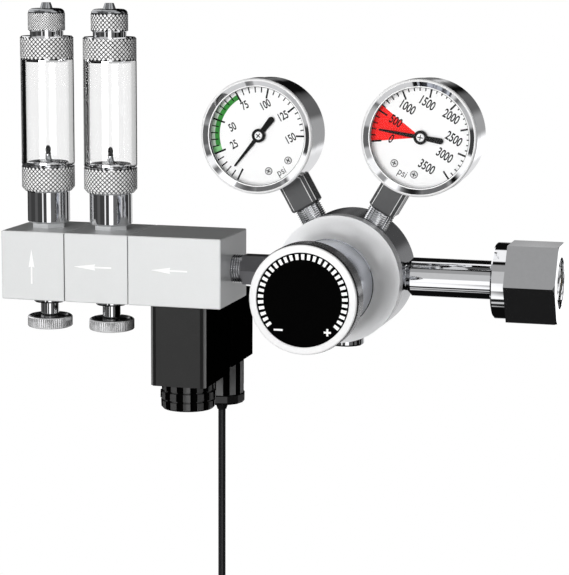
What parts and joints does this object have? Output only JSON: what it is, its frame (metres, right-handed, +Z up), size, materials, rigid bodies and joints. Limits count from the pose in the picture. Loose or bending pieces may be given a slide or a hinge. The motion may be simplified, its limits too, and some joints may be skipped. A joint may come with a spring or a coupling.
{
  "type": "two-stage gas regulator",
  "caption": "Gas pressure regulator with dial gauges, a front adjusting knob, a solenoid shut-off valve on a block manifold, and needle valves with clear bubble counters.",
  "frame": {"origin": "centre of the open mouth of the tank nut, on the axis of its thread", "axes": "+X along the tank nut's thread, out of its mouth towards the tank valve; +Z up, along the bubble counters; -Y is the front, where the dials and the adjusting knob face"},
  "size_m": [0.2154, 0.1208, 0.3383],
  "materials": {
    "polished_chrome": "polished",
    "dark_chrome": "polished, darker",
    "satin_silver": "satin",
    "pale_anodised": "pale satin anodised",
    "steel": "turned",
    "spring_steel": "drawn wire",
    "brass": "turned",
    "copper": "enamelled wire",
    "black_face": "gloss black with printed marks",
    "black_plastic": "satin moulded black",
    "grey_plastic": "moulded grey",
    "black_rubber": "smooth",
    "cord_jacket": "smooth black jacket",
    "seal_white": "plain",
    "dial_white": "white enamel with printed scale",
    "pointer_black": "satin black",
    "clear_lens": "clear",
    "clear_tube": "clear",
    "sintered": "sintered bronze"
  },
  "bodies": {
    "regulator": {"body": "dark_chrome", "bonnet": "satin_silver", "rear_cap": "dark_chrome", "range_spring": "spring_steel", "diaphragms": "black_rubber", "valve_seats": "brass", "poppet_springs": "spring_steel", "rear_spring": "spring_steel", "relief_body": "polished_chrome", "relief_spring": "spring_steel", "inlet_nipple": "polished_chrome", "inlet_filter": "sintered", "tank_washer": "seal_white", "gauge_sockets": "dark_chrome", "gauge_cases": "polished_chrome", "gauge_bezels": "polished_chrome", "gauge_lenses": "clear_lens", "outlet_dial": "dial_white", "tank_dial": "dial_white", "bourdon_tubes": "brass", "hex_nipple": "dark_chrome", "solenoid_block": "pale_anodised", "valve_block_1": "pale_anodised", "valve_block_2": "pale_anodised", "block_seals": "black_rubber", "tie_screws": "steel", "coil_housing": "black_plastic", "coil_winding": "copper", "armature_tube": "steel", "plunger_spring": "spring_steel", "coil_nut": "black_plastic", "plug_housing": "black_plastic", "plug_screw": "steel", "gland_nut": "black_plastic", "counter_bases": "polished_chrome", "counter_tubes": "clear_tube", "counter_heads": "polished_chrome", "counter_cap_nuts": "polished_chrome", "counter_barbs": "polished_chrome", "counter_nozzles": "grey_plastic", "valve_glands": "polished_chrome", "cord_lead": "cord_jacket", "cord_coil": "cord_jacket", "barrel_plug": "black_plastic"},
    "knob": {"knob_shell": "polished_chrome", "knob_face": "black_face", "adjusting_screw": "steel"},
    "spring_button": {"spring_button": "brass"},
    "second_stage": {"pressure_plate": "brass", "second_poppet": "brass"},
    "first_stage": {"first_poppet": "brass"},
    "relief_valve": {"relief_poppet": "seal_white"},
    "tank_nut": {"tank_nut": "polished_chrome"},
    "outlet_pointer": {"outlet_pointer": "pointer_black"},
    "tank_pointer": {"tank_pointer": "pointer_black"},
    "plunger": {"plunger": "steel"},
    "needle_1": {"valve_needle_1": "steel"},
    "needle_2": {"valve_needle_2": "steel"},
    "needle_knob_1": {"valve_knob_1": "polished_chrome"},
    "needle_knob_2": {"valve_knob_2": "polished_chrome"}
  },
  "joints": [
    {"name": "knob_turn", "type": "hinge", "parent": "regulator", "child": "knob", "pos_m": [-0.0815, 0, 0], "axis": [0, 1, 0], "range_deg": [-181, 1261]},
    {"name": "button_slide", "type": "slide", "parent": "regulator", "child": "spring_button", "axis": [0, 1, 0], "range_m": [-0.00063, 0.00438], "deforming": ["range_spring"]},
    {"name": "second_stage_slide", "type": "slide", "parent": "regulator", "child": "second_stage", "axis": [0, 1, 0], "range_m": [0, 0.0005], "stiffness_N_per_m": 1000, "springref_m": -0.0002, "deforming": ["poppet_springs", "diaphragms"]},
    {"name": "first_stage_slide", "type": "slide", "parent": "regulator", "child": "first_stage", "axis": [0, -1, 0], "range_m": [0, 0.0005], "stiffness_N_per_m": 500, "springref_m": -0.0001},
    {"name": "relief_slide", "type": "slide", "parent": "regulator", "child": "relief_valve", "axis": [0, 0, -1], "range_m": [0, 0.001], "stiffness_N_per_m": 800, "springref_m": -0.0001, "deforming": ["relief_spring"]},
    {"name": "plunger_slide", "type": "slide", "parent": "regulator", "child": "plunger", "axis": [0, 0, -1], "range_m": [0, 0.0018], "stiffness_N_per_m": 300, "springref_m": -0.0006, "deforming": ["plunger_spring"]},
    {"name": "tank_nut_spin", "type": "hinge", "parent": "regulator", "child": "tank_nut", "pos_m": [0, 0, 0], "axis": [1, 0, 0], "continuous": true},
    {"name": "outlet_pointer_turn", "type": "hinge", "parent": "regulator", "child": "outlet_pointer", "pos_m": [-0.1114, 0, 0.05306], "axis": [0, 1, 0], "range_deg": [-12.2, 230.9], "stiffness_Nm_per_rad": 0.0001},
    {"name": "tank_pointer_turn", "type": "hinge", "parent": "regulator", "child": "tank_pointer", "pos_m": [-0.05006, 0, 0.05402], "axis": [0, 1, 0], "range_deg": [-15.1, 225.8], "stiffness_Nm_per_rad": 0.0001},
    {"name": "needle_1_slide", "type": "slide", "parent": "regulator", "child": "needle_1", "axis": [0, 0, 1], "range_m": [-0.002, 0.0005]},
    {"name": "needle_knob_1_turn", "type": "hinge", "parent": "needle_1", "child": "needle_knob_1", "pos_m": [-0.2024, 0, 0], "axis": [0, 0, 1], "range_deg": [-1441, 361]},
    {"name": "needle_2_slide", "type": "slide", "parent": "regulator", "child": "needle_2", "axis": [0, 0, 1], "range_m": [-0.002, 0.0005]},
    {"name": "needle_knob_2_turn", "type": "hinge", "parent": "needle_2", "child": "needle_knob_2", "pos_m": [-0.1764, 0, 0], "axis": [0, 0, 1], "range_deg": [-1441, 361]}
  ],
  "couplings": [
    {"joint": "knob_turn", "follows": "button_slide", "rad_per_m": 5026.5},
    {"joint": "needle_knob_1_turn", "follows": "needle_1_slide", "rad_per_m": 12566},
    {"joint": "needle_knob_2_turn", "follows": "needle_2_slide", "rad_per_m": 12566}
  ]
}
